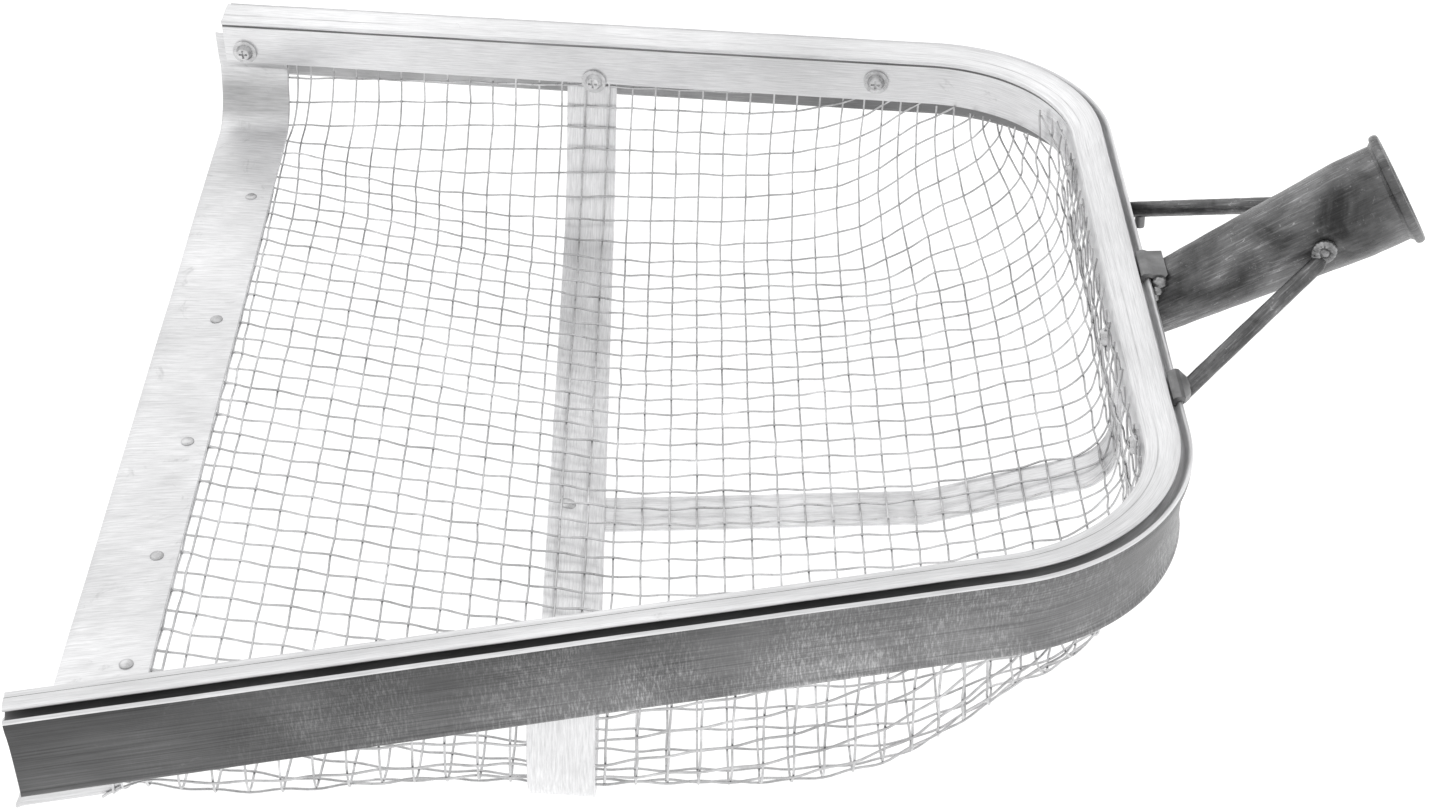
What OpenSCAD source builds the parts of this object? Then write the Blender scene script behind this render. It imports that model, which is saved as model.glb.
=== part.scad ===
// Leaf skimmer net: a scoop of woven wire mesh in a bent metal rail, with a flat
// front lip, two flat support straps and a tapered handle socket held by two stays.
// Units are millimetres. X runs from the front lip towards the handle socket,
// Y runs across the net, Z is up. The origin is the middle of the bottom of the
// whole net's bounding box.

/* [Frame rail] */
// Width between the two side rails at the open front end
front_width = 431; // [340:1:520]
// Angle at which each side rail tapers inwards towards the back bar, in degrees
rail_taper = 10.1141; // [4:0.0001:16]
// Length from the open end to the inner face of the back bar
frame_length = 351; // [280:1:430]
// Bend radius of the two back corners, on the inner face
corner_radius = 63; // [40:1:90]
// Height of the inner web that carries the screws
web_height = 19; // [14:0.5:26]
// Thickness of the inner web
web_thickness = 1.4; // [1:0.1:2]

/* [Front lip] */
// Width of the flat lip plate, front to back
lip_width = 30; // [20:1:45]
// How far the lip's front edge stands ahead of the rails
lip_overhang = 4; // [0:0.5:12]
// Depth of the lip's upper face below the rails' top inner edge
lip_depth = 43; // [32:1:60]
// Thickness of the lip plate
lip_thickness = 1.2; // [0.8:0.1:2]
// Bend radius at the near end of the lip
lip_bend_near = 3; // [2:1:20]
// Bend radius at the far end of the lip
lip_bend_far = 20; // [6:1:24]

/* [Mesh basket] */
// Depth of the basket floor below the rails' top inner edge
basket_depth = 90; // [70:1:120]
// Depth of the basket floor where it meets the back wall
basket_depth_back = 77; // [60:1:115]
// Thickness of the woven mesh sheet
mesh_thickness = 1.6; // [1:0.1:2.4]
// Radius between the side walls and the floor, at the cross strap
side_radius = 37; // [20:1:42]
// Radius between wall and floor in the tight stretch behind the cross strap
tight_radius = 21; // [10:1:30]
// Radius between wall and floor in the two back corners
corner_floor_radius = 56; // [30:1:60]
// How much shallower the floor is in the two back corners
corner_rise = 7; // [0:0.5:12]
// Radius between the back wall and the floor
back_radius = 16; // [8:1:30]

/* [Straps] */
// Width of the flat cross strap and long strap
strap_width = 21; // [12:1:30]
// Thickness of the straps
strap_thickness = 1.2; // [0.8:0.1:2]
// Position of the cross strap behind the front end, at the rails
cross_strap_x = 160; // [120:1:200]
// How much higher the cross strap's front edge stands than its back edge
cross_strap_rise = 6; // [0:0.5:8]
// How far back the cross strap's near end stands from square
cross_strap_skew = 3; // [0:0.5:6]
// How far the cross strap leans forward for each millimetre of depth
cross_strap_lean = 0.06; // [0:0.01:0.1]
// Distance of the long strap from the middle, towards the near side
long_strap_offset = 16; // [0:1:30]

/* [Handle socket] */
// Outside diameter of the socket at its mouth
socket_mouth_d = 36; // [30:0.5:44]
// Outside diameter of the socket's small end, which is cut to fit the back bar
socket_base_d = 21.5; // [18:0.5:34]
// Wall thickness of the socket tube
socket_wall = 1.9; // [1.2:0.1:3]
// Outside diameter of the rolled rim
rim_d = 41.6; // [34:0.2:50]
// Upward tilt of the socket, in degrees
socket_tilt = 28.5; // [10:0.5:45]
// Distance from the back bar to the middle of the mouth
mouth_reach = 102; // [70:0.5:150]
// Height of the middle of the mouth above the rails' top inner edge
mouth_rise = 32.5; // [10:0.5:60]
// Diameter of the round stay bars
stay_d = 6; // [4:0.5:9]

/* [Output] */
// Which piece to show

/* [Hidden] */
$fn = 48;

// taper of the side rails, and the centre of the near corner on a round tenth of a millimetre
ta = rail_taper;
cr = corner_radius;
ccx = frame_length - cr;
ccy = round((-front_width / 2 + (cr + ccx * sin(ta)) / cos(ta)) * 10) / 10;
p1 = [ccx + cr * sin(ta), ccy - cr * cos(ta)];
side_len = p1[0] / cos(ta);
// Y of the near side rail's inner face at the front end
front_y = p1[1] - p1[0] * tan(ta);

// stacking behind the web: lip tab, mesh, strap, measured outwards from the inner face
u_lip = web_thickness + 0.1;
u_mesh = u_lip + lip_thickness + 0.1 + mesh_thickness / 2;
u_strap = u_mesh + mesh_thickness / 2 + 0.1;
z_top = -6.5;

// levels of the flat layers
lip_mesh_z = lip_depth + lip_thickness + 0.1 + mesh_thickness / 2;
cross_z = basket_depth + mesh_thickness / 2 + 0.1;
long_z = cross_z + strap_thickness + 0.1;
z_low = long_z + strap_thickness;

// socket axis
ax = [cos(socket_tilt), 0, sin(socket_tilt)];
mouth = [frame_length + mouth_reach, 0, mouth_rise];
x_max = mouth[0] + rim_d / 2 * sin(socket_tilt);
x_min = -lip_overhang;
origin_shift = [-(x_max + x_min) / 2, 0, z_low];

// ---- rail section: u is outwards, z is up, from the inner top edge ----
rail_pts = [[0, -web_height], [0, -0.9], [-0.6, -0.3], [-0.5, 0.6], [0.3, 1.1], [1.2, 0.9], [3, 1.7],
    [6, 2.8], [9, 3.4], [10.8, 3.4], [11, 2.3], [9, 2.1], [6, 1.5], [4, 0.4], [3.8, -1.6],
    [12, -1.9], [12.8, -0.8], [13.3, 1.6], [14.1, 2.3], [14.9, 1.5], [14.7, -1.6], [13.7, -5],
    [12.9, -9], [12.4, -14], [12.2, -20], [12.2, -27.4], [12.9, -28.5], [12.6, -29.7], [11.5, -30],
    [10.8, -29], [10.8, -20], [11, -14], [11.5, -9], [12.1, -4.8], [11.6, -3.4], [2.6, -3.4],
    [web_thickness, -4.4], [web_thickness, -web_height]];

// the near corner's own axes: x outwards from the corner's centre where the side rail begins
module corner_frame() {
    translate([ccx, ccy, 0]) rotate([0, 0, ta - 90]) children();
}

// the section is swept along the near half, front end first, and then back along the far half
bend_steps = 20;
near_rings = concat([[[0, front_y], ta - 90]],
    [for (i = [0:bend_steps]) let (a = (ta - 90) * (1 - i / bend_steps))
        [[ccx + cr * cos(a), ccy + cr * sin(a)], a]]);
half_rings = len(near_rings);
ring_n = 2 * half_rings;
pts_n = len(rail_pts);
rail_verts = [for (r = [0:ring_n - 1])
    let (far = r >= half_rings, ring = near_rings[far ? ring_n - 1 - r : r], c = ring[0], a = ring[1])
    for (p = rail_pts) [c[0] + p[0] * cos(a), (c[1] + p[0] * sin(a)) * (far ? -1 : 1), p[1]]];
rail_faces = concat(
    [[for (i = [0:pts_n - 1]) i]],
    [for (r = [0:ring_n - 2]) for (i = [0:pts_n - 1]) let (n = (i + 1) % pts_n, b = r * pts_n, t = b + pts_n)
        for (f = [[b + i, t + i, t + n], [b + i, t + n, b + n]]) f],
    [[for (i = [pts_n - 1:-1:0]) (ring_n - 1) * pts_n + i]]);

// ---- places of the screws: along the side rail and on the back bar ----
side_screws = [[8.6, -13.5], [159.7, -17.6], [277.7, -10]];
back_screws = [[-90, -11], [-long_strap_offset, -17.4], [90, -11]];

// put children on the near side rail: local x outwards, z up, at distance x along X
module on_near(x, z) {
    translate([x, front_y + x * tan(ta), z]) rotate([0, 0, ta - 90]) children();
}

module on_back(y, z) {
    translate([frame_length, y, z]) children();
}

module hole() { translate([-1, 0, 0]) rotate([0, 90, 0]) cylinder(r = 2, h = 8, $fn = 24); }

module side_holes() { for (s = side_screws) on_near(s[0], s[1]) hole(); }

module frame_rail() {
    color([0.74, 0.75, 0.76]) translate(origin_shift) difference() {
        polyhedron(points = rail_verts, faces = rail_faces, convexity = 8);
        side_holes();
        mirror([0, 1, 0]) side_holes();
        for (s = back_screws) on_back(s[0], s[1]) hole();
    }
}

function arc_pts(cx, cy, r, a0, a1, n) =
    [for (i = [0:n]) let (a = a0 + (a1 - a0) * i / n) [cx + r * cos(a), cy + r * sin(a)]];

// ---- a flat band bent up at both ends to stand behind the web ----
// one leg of the section, [side, distance out from the inner face, height], from its top to the floor
function band_leg(side, u, r, c, zf) =
    concat([[side, u, z_top]], [for (p = arc_pts(c, zf, r, 0, -90, bend_steps)) [side, p[0], p[1]]]);
function back_to_front(v) = [for (i = [len(v) - 1:-1:0]) v[i]];
function band_pts(v, x, lean, skew) = [for (p = v)
    let (bx = x + lean * p[2] + (p[0] < 0 ? skew : 0), y = front_y + bx * tan(ta) - p[1] / cos(ta))
    [bx, -p[0] * y, p[2]]];
function band_loop(u0, t, zf, rn, rf) = concat(band_leg(-1, u0, rn, u0 - rn, rn - zf),
    back_to_front(band_leg(1, u0, rf, u0 - rf, rf - zf)),
    band_leg(1, u0 + t, rf + t, u0 - rf, rf - zf),
    back_to_front(band_leg(-1, u0 + t, rn + t, u0 - rn, rn - zf)));

// rn and rf are the inner bend radii at the near and far ends; the side edges lean forward with depth,
// the front edge is raised by rise, and the near end stands back by skew
module band(u0, t, zf, rn, rf, x0, x1, lean, rise, skew) {
    front = band_loop(u0, t, zf - rise, rn, rf);
    n = len(front);
    polyhedron(concat(band_pts(front, x0, lean, skew), band_pts(band_loop(u0, t, zf, rn, rf), x1, lean, skew)),
        concat([for (k = [0:n / 2 - 2], t = [[k, k + 1, n - 1 - k], [k + 1, n - 2 - k, n - 1 - k]]) t],
            [for (k = [0:n / 2 - 2], t = [[k, n - 1 - k, k + 1], [k + 1, n - 1 - k, n - 2 - k]]) t + [n, n, n]],
            [for (i = [0:n - 1], t = [[i + n, (i + 1) % n + n, (i + 1) % n], [i + n, (i + 1) % n, i]]) t]));
}

// rivet places on the lip: x, y
lip_rivet_xy = [[17.6, 141], [17, 49], [18.5, -31], [18.5, -97], [18, -153]];

module front_lip() {
    x0 = -lip_overhang;
    color([0.8, 0.8, 0.8]) translate(origin_shift) difference() {
        band(u_lip, lip_thickness, lip_depth, lip_bend_near, lip_bend_far, x0, x0 + lip_width, 0, 0, 0);
        on_near(side_screws[0][0], side_screws[0][1]) hole();
        mirror([0, 1, 0]) on_near(side_screws[0][0], side_screws[0][1]) hole();
        for (p = lip_rivet_xy) translate([p[0], p[1], -lip_depth - 4]) cylinder(r = 1.6, h = 6, $fn = 24);
    }
}

module cross_strap() {
    x0 = cross_strap_x - strap_width / 2;
    ri = side_radius + mesh_thickness / 2 + 0.1;
    color([0.7, 0.71, 0.72]) translate(origin_shift) difference() {
        band(u_strap, strap_thickness, cross_z - 0.2, ri, ri, x0, x0 + strap_width, cross_strap_lean,
            cross_strap_rise, cross_strap_skew);
        on_near(side_screws[1][0], side_screws[1][1]) hole();
        mirror([0, 1, 0]) on_near(side_screws[1][0], side_screws[1][1]) hole();
        at_strap_rivet() rivet_hole();
    }
}
rivet_x = cross_strap_x - cross_strap_lean * basket_depth - 2;
cross_front_x = cross_strap_x - strap_width / 2 - cross_strap_lean * cross_z;
cross_slope = cross_strap_rise / strap_width;
// depth of the cross strap's upper face at x, where it slopes down towards the back
function cross_top(x) = cross_z - 0.2 - cross_strap_rise + cross_slope * (x - cross_front_x);
module at_strap_rivet() {
    translate([rivet_x, -long_strap_offset, -cross_top(rivet_x)]) rotate([0, atan(cross_slope), 0]) children();
}
module rivet_hole() { translate([0, 0, -6]) cylinder(r = 2, h = 9, $fn = 24); }

// ---- long strap: a flat strip in the X-Z plane, bent up at the back wall ----
ls_x0 = rivet_x - 7;
ls_bend_x = 285;
ls_ri = back_radius + mesh_thickness / 2 + 0.1;
ls_cx = frame_length + u_strap - ls_ri;
ls_cz = -(basket_depth_back - back_radius) - 0.4;
ls_slope = atan((long_z - (-ls_cz + ls_ri)) / (ls_cx - ls_bend_x));
ls_x1 = cross_front_x + strap_width;
ls_x2 = ls_x1 + 10;
ls_z0 = -cross_top(ls_x0) - strap_thickness - 0.1;
ls_z1 = -cross_top(ls_x1) - strap_thickness - 0.1;
long_pts = concat([[ls_x0, ls_z0], [ls_x1, ls_z1], [ls_x2, -long_z], [ls_bend_x, -long_z]],
    arc_pts(ls_cx, ls_cz, ls_ri, -90 + ls_slope, 0, 12), [[ls_cx + ls_ri, z_top]],
    [[ls_cx + ls_ri + strap_thickness, z_top]],
    arc_pts(ls_cx, ls_cz, ls_ri + strap_thickness, 0, -90 + ls_slope, 12),
    [[ls_bend_x, -long_z - strap_thickness], [ls_x2, -long_z - strap_thickness],
        [ls_x1, ls_z1 - strap_thickness], [ls_x0, ls_z0 - strap_thickness]]);

module long_strap() {
    color([0.7, 0.71, 0.72]) translate(origin_shift) difference() {
        translate([0, -long_strap_offset, 0]) rotate([90, 0, 0])
            linear_extrude(strap_width, center = true) polygon(long_pts);
        on_back(back_screws[1][0], back_screws[1][1]) hole();
        at_strap_rivet() rivet_hole();
    }
}

// ---- mesh basket: a thin bowl hung from the rail, open at the front ----
ns = 24;
nc = 8;
nb = 6;
nh = ns + nc + nb;
mx0 = 10;
// floor depth along the length
function ease(t) = let (c = min(1, max(0, t))) c * c * (3 - 2 * c);
function bump(t) = let (c = min(1, abs(t))) (1 - c * c) * (1 - c * c);
// a straight ramp down from the lip, rounded into the level floor
ramp_x0 = lip_width - lip_overhang + 5;
ramp_x1 = 168;
ramp_round = 18;
function ramp(x) = lip_mesh_z + (basket_depth - lip_mesh_z) * max(0, x - ramp_x0) / (ramp_x1 - ramp_x0);
function depth(x) = x < ramp_x1 + ramp_round
    ? let (d = ramp(x), h = max(0, ramp_round - abs(x - ramp_x1)) / ramp_round)
        min(basket_depth, d) - 1.6 * h * h
    : basket_depth - (basket_depth - basket_depth_back) * ease((x - 282) / 68);
// sample i on the near half: position, outward normal, wall-to-floor radius
mr = cr + u_mesh;
q1 = [ccx + mr * sin(ta), ccy - mr * cos(ta)];
q0 = [mx0, q1[1] - (q1[0] - mx0) * tan(ta)];
function s_pos(i) = i <= ns ? q0 + (q1 - q0) * i / ns
    : i <= ns + nc ? let (a = -(90 - ta) * (1 - (i - ns) / nc)) [ccx + mr * cos(a), ccy + mr * sin(a)]
    : [frame_length + u_mesh, ccy * (1 - (i - ns - nc) / nb)];
function s_nrm(i) = let (a = i <= ns ? -(90 - ta) : i <= ns + nc ? -(90 - ta) * (1 - (i - ns) / nc) : 0)
    [cos(a), sin(a)];
function s_rad(i, rf) = i <= ns
    ? let (x = s_pos(i)[0]) rf + (side_radius - rf) * ease((x - 26) / 130)
        + (tight_radius - side_radius) * bump((x - 240) / 62)
        + (corner_floor_radius - side_radius) * ease((x - 258) / 70)
    : i <= ns + nc ? corner_floor_radius
    : let (k = (i - ns - nc) / nb) corner_floor_radius + (back_radius - corner_floor_radius) * ease(k * 1.25);
function s_rise(i) = i <= ns ? corner_rise * ease((s_pos(i)[0] - 270) / 45)
    : i <= ns + nc ? corner_rise : corner_rise * (1 - ease((i - ns - nc) / nb));
spine_x1 = 250;
function s_spine(i) = i <= ns ? mx0 + (200 - mx0) * i / ns : 200 + (spine_x1 - 200) * (i - ns) / (nc + nb);
walls = 3;
arcs = 7;
floors = 3;
nk = walls + arcs + floors;
function lerp(a, b, t) = a + (b - a) * t;
// one vertex: i sample, k row from the rim to the spine, o offset outwards, m side (1 near, -1 far)
function vert(i, k, o, m, rf) =
    let (p = s_pos(i), n = s_nrm(i), r = s_rad(i, rf), c = p - n * r, e = s_rise(i), d = depth(c[0]) - e,
        u = k < walls ? [p[0] + n[0] * o, p[1] + n[1] * o, lerp(z_top, -(d - r), k / walls)]
        : k <= walls + arcs ? let (a = 90 * (k - walls) / arcs)
            [c[0] + n[0] * (r + o) * cos(a), c[1] + n[1] * (r + o) * cos(a), -(d - r) - (r + o) * sin(a)]
        : let (t = (k - walls - arcs) / floors, x = lerp(c[0], s_spine(i), t))
            [x, lerp(c[1], 0, t), -depth(x) - o + e * (1 - t) * (1 - t)])
    [u[0], m * u[1], u[2]];
cols = 2 * nh;
function col_i(c) = c <= nh ? c : cols - c;
function col_m(c) = c <= nh ? 1 : -1;
function col_r(c) = (c <= nh ? lip_bend_near : lip_bend_far) + lip_thickness + 0.1 + mesh_thickness / 2;
row_n = nk + 1;
half_n = (cols + 1) * row_n;
mesh_verts = concat(
    [for (c = [0:cols]) for (k = [0:nk]) vert(col_i(c), k, mesh_thickness / 2, col_m(c), col_r(c))],
    [for (c = [0:cols]) for (k = [0:nk]) vert(col_i(c), k, -mesh_thickness / 2, col_m(c), col_r(c))]);
// the far half shares the spine vertices of the near half
function vi(s, c, k) = s * half_n + (k == nk && c > nh ? cols - c : c) * row_n + k;
function quad(a, b, c, d) = [[a, c, b], [a, d, c]];
// a quad of column c, with its diagonal mirrored on the far half
function cell(c, k, s) = let (q = [vi(s, c, k), vi(s, c, k + 1), vi(s, c + 1, k + 1), vi(s, c + 1, k)])
    c < nh ? quad(q[0], q[1], q[2], q[3]) : quad(q[1], q[2], q[3], q[0]);
function flip(t) = [t[0], t[2], t[1]];
mesh_faces = concat(
    [for (c = [0:cols - 1]) for (k = [0:nk - 1]) for (t = cell(c, k, 0)) t],
    [for (c = [0:cols - 1]) for (k = [0:nk - 1]) for (t = cell(c, k, 1)) flip(t)],
    [for (c = [0:cols - 1]) for (t = quad(vi(0, c, 0), vi(0, c + 1, 0), vi(1, c + 1, 0), vi(1, c, 0))) t],
    [for (k = [0:nk - 1]) for (t = quad(vi(0, 0, k), vi(1, 0, k), vi(1, 0, k + 1), vi(0, 0, k + 1))) t],
    [for (k = [0:nk - 1])
        for (t = quad(vi(0, cols, k), vi(0, cols, k + 1), vi(1, cols, k + 1), vi(1, cols, k))) t]);

module mesh_basket() {
    color([0.6, 0.61, 0.62]) translate(origin_shift) polyhedron(points = mesh_verts, faces = mesh_faces);
}

// ---- handle socket: cone, straight mouth and rolled rim, cut off flush at the back bar ----
mouth_r = socket_mouth_d / 2;
base_r = socket_base_d / 2;
socket_len = 112;
bore_len = 18;
rim_h = 4.2;

module socket_axis() { translate(mouth) rotate([0, 90 - socket_tilt, 0]) children(); }

module socket_outer(grow) {
    socket_axis() rotate_extrude($fn = 96)
        polygon([[0, 0], [0, -socket_len], [base_r + grow, -socket_len], [mouth_r + grow, -bore_len],
            [mouth_r + grow, 0]]);
}

// everything outside the back bar's outer wall
module outside_bar() {
    translate([frame_length + 0.05, 60, 0]) rotate([90, 0, 0]) linear_extrude(120)
        polygon([[12.95, -70], [12.95, -28.4], [12.2, -27.4], [12.2, -20], [12.4, -14], [12.9, -9],
            [13.7, -5], [14.7, -1.6], [14.95, 1.5], [14.95, 70], [160, 70], [160, -70]]);
}

module handle_socket() {
    color([0.25, 0.25, 0.26]) translate(origin_shift) intersection() {
        socket_axis() rotate_extrude($fn = 96) polygon([
            [mouth_r - socket_wall, 0], [mouth_r - socket_wall, -bore_len],
            [base_r - socket_wall, -socket_len], [base_r, -socket_len], [mouth_r, -bore_len],
            [mouth_r, -rim_h - 0.6], [rim_d / 2 - 0.9, -rim_h], [rim_d / 2, -rim_h + 1],
            [rim_d / 2, -1], [rim_d / 2 - 1, 0]]);
        outside_bar();
    }
}

// bent plate that hooks into the groove, passes over the ridge and reaches outwards
module hooked_plate(end_x, end_z, y0, y1) {
    translate([frame_length, y1, 0]) rotate([90, 0, 0]) linear_extrude(y1 - y0)
        polygon([[11.5, 0.2], [12.6, 0.2], [12.9, 1.9], [14.1, 2.5], [15.1, 1.9], [end_x, end_z],
            [end_x + 0.7, end_z + 1.3], [15.6, 3.5], [14.2, 4.1], [12, 3.7], [11.4, 3]]);
}

// small plate joining the top of the back bar to the socket
module socket_tab() {
    color([0.6, 0.6, 0.6]) translate(origin_shift) difference() {
        hooked_plate(20, 2.2, -8, 8);
        socket_outer(0.1);
    }
}

// weld beads at each side of the socket's base: out from the wall, sideways, up, radius
socket_beads = [[18, 8.4, 0.4, 2.7], [16, 11.6, -3.6, 1.9], [14.6, 13.6, -9.5, 1.8], [14, 13.8, -15, 1.7]];

module socket_weld() {
    color([0.45, 0.45, 0.46]) translate(origin_shift) for (s = [-1, 1]) for (b = socket_beads)
        translate([frame_length + b[0], s * b[1], b[2]]) sphere(r = b[3], $fn = 24);
}

// ---- stays: round bars from the back bar's outer wall to the sides of the socket ----
foot_y = 64.3;
stay_a = [frame_length + 14.9, -foot_y, -13.1];
stay_b = [frame_length + 72, -19.2, 14.8];
stay_v = stay_b - stay_a;

module stay_body() {
    translate(stay_a) rotate([0, acos(stay_v[2] / norm(stay_v)), atan2(stay_v[1], stay_v[0])])
        cylinder(r = stay_d / 2, h = norm(stay_v), $fn = 32);
}

module near_stay() { color([0.28, 0.28, 0.29]) translate(origin_shift) stay_body(); }

module far_stay() { color([0.28, 0.28, 0.29]) translate(origin_shift) mirror([0, 1, 0]) stay_body(); }

// the near foot hooks over the ridge beside the stay and tapers outwards to it
module near_stay_foot() {
    color([0.5, 0.5, 0.5]) translate(origin_shift) intersection() {
        hooked_plate(18.5, -2.4, -foot_y - 22, -foot_y + 2);
        translate([frame_length, -foot_y, -20]) linear_extrude(30)
            polygon([[10, -20], [15.5, -20], [19, -11], [20, -1], [15.5, -3], [10, -5]]);
    }
}

module near_foot_weld() {
    color([0.5, 0.5, 0.52]) translate(origin_shift)
        for (b = [[18.8, -0.4, -4.2, 1.6], [19.6, 2.8, -7.5, 1.9], [15, 0.4, -13.4, 2.2]])
            translate([frame_length + b[0], -foot_y + b[1], b[2]]) sphere(r = b[3], $fn = 24);
}

module far_foot_weld() {
    color([0.5, 0.5, 0.52]) translate(origin_shift)
        for (b = [[14.6, 0.6, -10.8, 2.2], [15, -0.4, -14.6, 2.4]])
            translate([frame_length + b[0], foot_y + b[1], b[2]]) sphere(r = b[3], $fn = 24);
}

// short stub standing under the far stay near its foot
module far_foot_stub() {
    color([0.5, 0.5, 0.52]) translate(origin_shift) translate([frame_length + 21.2, foot_y - 5.7, -17])
        cylinder(r = 1.9, h = 5, $fn = 24);
}

// round weld where each stay ends on the socket
module stay_weld_body() { translate([frame_length + 73.2, -19.4, 18.4]) sphere(r = 3.9, $fn = 32); }

module near_stay_weld() { color([0.5, 0.5, 0.52]) translate(origin_shift) stay_weld_body(); }

module far_stay_weld() {
    color([0.5, 0.5, 0.52]) translate(origin_shift) mirror([0, 1, 0]) stay_weld_body();
}

// ---- screws: cross-recessed round heads over washers, heads on the inner face ----
module screw() {
    difference() {
        translate([-3.1, 0, 0]) rotate([0, 90, 0]) cylinder(r1 = 2.6, r2 = 3.6, h = 2.1, $fn = 32);
        for (a = [0, 90]) rotate([a, 0, 0]) translate([-3.2, -1.9, -0.45]) cube([1, 3.8, 0.9]);
    }
    translate([-1.01, 0, 0]) rotate([0, 90, 0]) cylinder(r = 1.9, h = 9.5, $fn = 24);
}

module washer() {
    translate([-0.95, 0, 0]) rotate([0, 90, 0]) difference() {
        cylinder(r = 5.2, h = 0.9, $fn = 48);
        translate([0, 0, -1]) cylinder(r = 2.05, h = 3, $fn = 24);
    }
}

module near_rail_screws() {
    color([0.65, 0.65, 0.67]) translate(origin_shift) for (s = side_screws) on_near(s[0], s[1]) screw();
}

module far_rail_screws() {
    color([0.65, 0.65, 0.67]) translate(origin_shift) mirror([0, 1, 0])
        for (s = side_screws) on_near(s[0], s[1]) screw();
}

module back_bar_screws() {
    color([0.65, 0.65, 0.67]) translate(origin_shift) for (s = back_screws) on_back(s[0], s[1]) screw();
}

module near_rail_washers() {
    color([0.6, 0.6, 0.62]) translate(origin_shift) for (s = side_screws) on_near(s[0], s[1]) washer();
}

module far_rail_washers() {
    color([0.6, 0.6, 0.62]) translate(origin_shift) mirror([0, 1, 0])
        for (s = side_screws) on_near(s[0], s[1]) washer();
}

module back_bar_washers() {
    color([0.6, 0.6, 0.62]) translate(origin_shift) for (s = back_screws) on_back(s[0], s[1]) washer();
}

// ---- rivets ----
module lip_rivets() {
    color([0.65, 0.65, 0.65]) translate(origin_shift) for (p = lip_rivet_xy)
        translate([p[0], p[1], -lip_depth]) {
            translate([0, 0, 0.02]) cylinder(r = 2.4, h = 0.8, $fn = 32);
            translate([0, 0, -lip_thickness - mesh_thickness - 0.6])
                cylinder(r = 1.5, h = lip_thickness + mesh_thickness + 0.8, $fn = 24);
        }
}

module strap_rivet() {
    color([0.65, 0.65, 0.65]) translate(origin_shift) at_strap_rivet() {
        translate([0, 0, 0.02]) cylinder(r = 3.6, h = 0.6, $fn = 32);
        translate([0, 0, -2 * strap_thickness - 0.1]) cylinder(r = 1.7, h = 2 * strap_thickness + 0.3, $fn = 24);
    }
}

frame_rail();
front_lip();
mesh_basket();
cross_strap();
long_strap();
handle_socket();
socket_tab();
socket_weld();
near_stay();
far_stay();
near_stay_foot();
near_foot_weld();
far_foot_weld();
far_foot_stub();
near_stay_weld();
far_stay_weld();
near_rail_screws();
far_rail_screws();
back_bar_screws();
near_rail_washers();
far_rail_washers();
back_bar_washers();
lip_rivets();
strap_rivet();
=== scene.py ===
"""Looks for the leaf skimmer net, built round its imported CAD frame. Lengths are in metres."""
import math

import bmesh
import bpy
from mathutils import Matrix, Vector, noise
from mathutils.bvhtree import BVHTree


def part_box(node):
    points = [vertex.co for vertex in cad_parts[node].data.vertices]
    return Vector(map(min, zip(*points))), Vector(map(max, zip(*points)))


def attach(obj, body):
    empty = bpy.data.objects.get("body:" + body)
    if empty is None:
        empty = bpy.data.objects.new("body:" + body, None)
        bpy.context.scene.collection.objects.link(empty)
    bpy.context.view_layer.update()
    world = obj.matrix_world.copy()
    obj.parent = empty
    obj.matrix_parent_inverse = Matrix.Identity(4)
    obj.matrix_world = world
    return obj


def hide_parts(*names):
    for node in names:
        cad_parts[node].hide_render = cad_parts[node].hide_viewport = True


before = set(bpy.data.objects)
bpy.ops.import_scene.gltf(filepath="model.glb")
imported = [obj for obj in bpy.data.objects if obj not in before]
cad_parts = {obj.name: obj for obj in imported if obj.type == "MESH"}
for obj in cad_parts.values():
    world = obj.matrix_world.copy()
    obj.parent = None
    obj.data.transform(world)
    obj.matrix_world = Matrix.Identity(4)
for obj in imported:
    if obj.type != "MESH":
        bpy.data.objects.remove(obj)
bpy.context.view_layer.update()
# noise_vector starts from a different place in every run unless it is seeded
noise.seed_set(1)

MM = 0.001
rail_low, rail_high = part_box("frame_rail")
# the design's zero: the rails' front ends, the middle, and the rails' inner top edge
ORIGIN = Vector((rail_low.x, 0, rail_high.z - 3.4 * MM))

# ---- sizes of the design, in mm ----
TAPER = math.radians(10.1141)
CORNER = 63.0
LENGTH = 351.0
CORNER_X = LENGTH - CORNER
FRONT_WIDTH = 431.0
CORNER_Y = round((-FRONT_WIDTH / 2 + (CORNER + CORNER_X * math.sin(TAPER)) / math.cos(TAPER)) * 10) / 10
FRONT_Y = CORNER_Y - CORNER * math.cos(TAPER) - (CORNER_X + CORNER * math.sin(TAPER)) * math.tan(TAPER)
WEB_FOOT = -19.0
MESH_T = 1.6
SHEET_T = 1.2
# how high the sheets' and the mesh's upright ends reach, and in how many steps
LEG_TOP = -6.5
LEG_CUTS = 16
# distances out from the rail's inner face to the lip, the mesh's middle and the strap
U_LIP = 1.5
U_MESH = U_LIP + SHEET_T + 0.1 + MESH_T / 2
U_STRAP = U_MESH + MESH_T / 2 + 0.1


def place(x, y, z):
    """A point of the design, given in mm, in the row frame."""
    return ORIGIN + Vector((x, y, z)) * MM


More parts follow.
